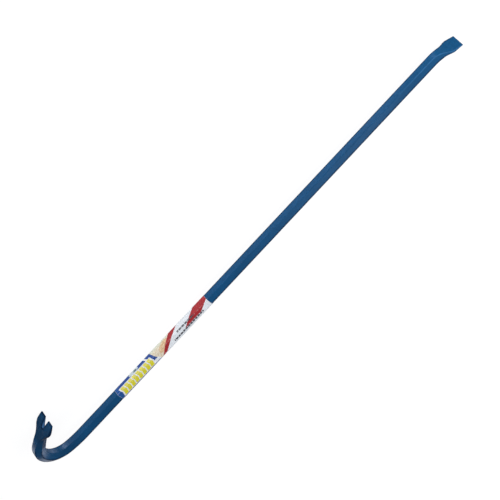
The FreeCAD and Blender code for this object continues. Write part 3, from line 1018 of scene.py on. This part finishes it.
# reflections: a dim room with soft cards round it, some of them below the horizon
front = w.mul(w.mul(w.ramp(sx, -0.45, -0.20, 0.30, 0.80), w.ramp(sx, -0.06, 0.04, 1.0, 0.40)), w.ramp(sy, 0.2, 0.5))
front = w.mul(front, w.ramp(sz, -0.30, -0.10, 1.0, 0.0))
behind = w.mul(patch((-0.02, -0.98, 0.14), 30, 2.2), w.ramp(sz, -0.14, -0.03))
behind = w.add(behind, w.mul(w.mul(w.ramp(sx, -0.20, 0.05, 0.10, 0.42), w.ramp(sy, -0.55, -0.25, 1.0, 0.0)), w.ramp(sz, -0.30, -0.10, 1.0, 0.35)))
cards = w.add(w.add(patch((0.32, 0.79, -0.53), 20, 8.2), patch((0.84, -0.24, -0.50), 32, 2.4)),
              w.add(behind, patch((-0.74, -0.38, -0.55), 17, 2.1)))
cards = w.add(cards, patch((-0.62, -0.78, 0.0), 13, 2.1))
seen_in = w.add(w.add(cards, front), w.ramp(sz, -0.06, 0.10, 0.03, 0.12))
path = wn.nodes.new("ShaderNodeLightPath")
glossy, in_camera = path.outputs["Is Glossy Ray"], path.outputs["Is Camera Ray"]
level = w.add(w.mul(glossy, seen_in), w.mul(w.sub(1.0, glossy), room))
# past the floor's edge the camera sees the same white
level = w.add(w.mul(in_camera, 1.02), w.mul(w.sub(1.0, in_camera), level))
bg.inputs["Color"].default_value = (0.95, 0.98, 1.08, 1.0)
wn.links.new(level, bg.inputs["Strength"])


def area(name, loc, target, size, power, color=(1, 1, 1)):
    ld = bpy.data.lights.new(name, "AREA")
    ld.shape = "RECTANGLE"
    ld.size, ld.size_y = size
    ld.energy = power
    ld.color = color
    ob = bpy.data.objects.new(name, ld)
    ob.location = loc
    d = Vector(target) - Vector(loc)
    ob.rotation_mode = "QUATERNION"
    ob.rotation_quaternion = d.to_track_quat("-Z", "Y")
    bpy.context.scene.collection.objects.link(ob)
    return ob


area("soft_key", (-0.1, 2.6, 1.25), (0, 0, 0), (1.6, 1.2), 37.5).visible_glossy = False
area("soft_fill", (0.3, -2.2, 0.8), (0, 0, 0), (1.8, 1.0), 24.0).visible_glossy = False
area("soft_side", (0.80, 0.20, 0.85), (0.45, 0, 0), (0.8, 0.7), 4.7).visible_glossy = False
area("soft_low", (2.4, 0.7, 0.25), (-0.3, 0, 0), (1.2, 0.6), 12.0).visible_glossy = False
area("soft_top", (0.32, 0.035, 0.9), (0.32, 0, 0), (0.66, 0.5), 1.7).visible_diffuse = False

# camera: focal length in pixels of a 500 wide frame, then the direction of the
# shank and of the hook's plane in the frame.  The frame is cut out of a larger
# picture whose middle is towards the chisel end, so the lens is shifted.
F_PX = 1439.29325
TAU, TILT, RHO = -0.00327628, 0.98039111, 0.00078204
OFF_D, OFF_N, MM = 0.09878807, 0.01574731, 1.70962860
CUT_D, CUT_N = 218.10414, 4.94813
D2, N2 = (0.68334905, -0.73009183), (0.73009183, 0.68334905)
PP = (-18.54 + CUT_D, -3.26 + CUT_N)
d_hat = Vector((math.cos(TAU), math.sin(TAU) * math.sin(TILT), math.sin(TAU) * math.cos(TILT)))
n_hat = Vector((0.0, -math.cos(TILT), math.sin(TILT)))
fwd = Vector((math.sin(TAU), -math.cos(TAU) * math.sin(TILT), -math.cos(TAU) * math.cos(TILT)))
De = (math.cos(RHO) * D2[0] + math.sin(RHO) * N2[0], math.cos(RHO) * D2[1] + math.sin(RHO) * N2[1])
Ne = (-math.sin(RHO) * D2[0] + math.cos(RHO) * N2[0], -math.sin(RHO) * D2[1] + math.cos(RHO) * N2[1])
right = (De[0] * d_hat + Ne[0] * n_hat).normalized()
up = -(De[1] * d_hat + Ne[1] * n_hat)
back_v = right.cross(up).normalized()
up = back_v.cross(right).normalized()
cam_data = bpy.data.cameras.new("camera")
cam_data.sensor_width = 36.0
cam_data.lens = F_PX / 500.0 * 36.0
cam_data.clip_start, cam_data.clip_end = 0.05, 60.0
cam = bpy.data.objects.new("camera", cam_data)
bpy.context.scene.collection.objects.link(cam)
loc = AXIS + (MM / 1000.0) * ((PP[0] - OFF_D) * d_hat + (PP[1] - OFF_N) * n_hat - F_PX * fwd)
rot = Matrix((right, up, back_v)).transposed()
cam.matrix_world = Matrix.Translation(loc) @ rot.to_4x4()
bpy.context.scene.camera = cam

# the shift holds only while the camera stands here: from anywhere else the lens is centred
shift = (-(CUT_D * De[0] + CUT_N * Ne[0]) / 500.0, (CUT_D * De[1] + CUT_N * Ne[1]) / 500.0)
for prop, value in (("shift_x", shift[0]), ("shift_y", shift[1])):
    drv = cam_data.driver_add(prop).driver
    drv.type = "SCRIPTED"
    for axis in "xyz":
        var = drv.variables.new()
        var.name = axis
        var.type = "SINGLE_PROP"
        var.targets[0].id = cam
        var.targets[0].data_path = "location." + axis
    drv.expression = "%.7f if abs(x - %.6f) + abs(y - %.6f) + abs(z - %.6f) < 0.001 else 0" % ((value,) + tuple(loc))
bpy.context.scene.view_settings.view_transform = "Standard"
bpy.context.scene.view_settings.look = "None"
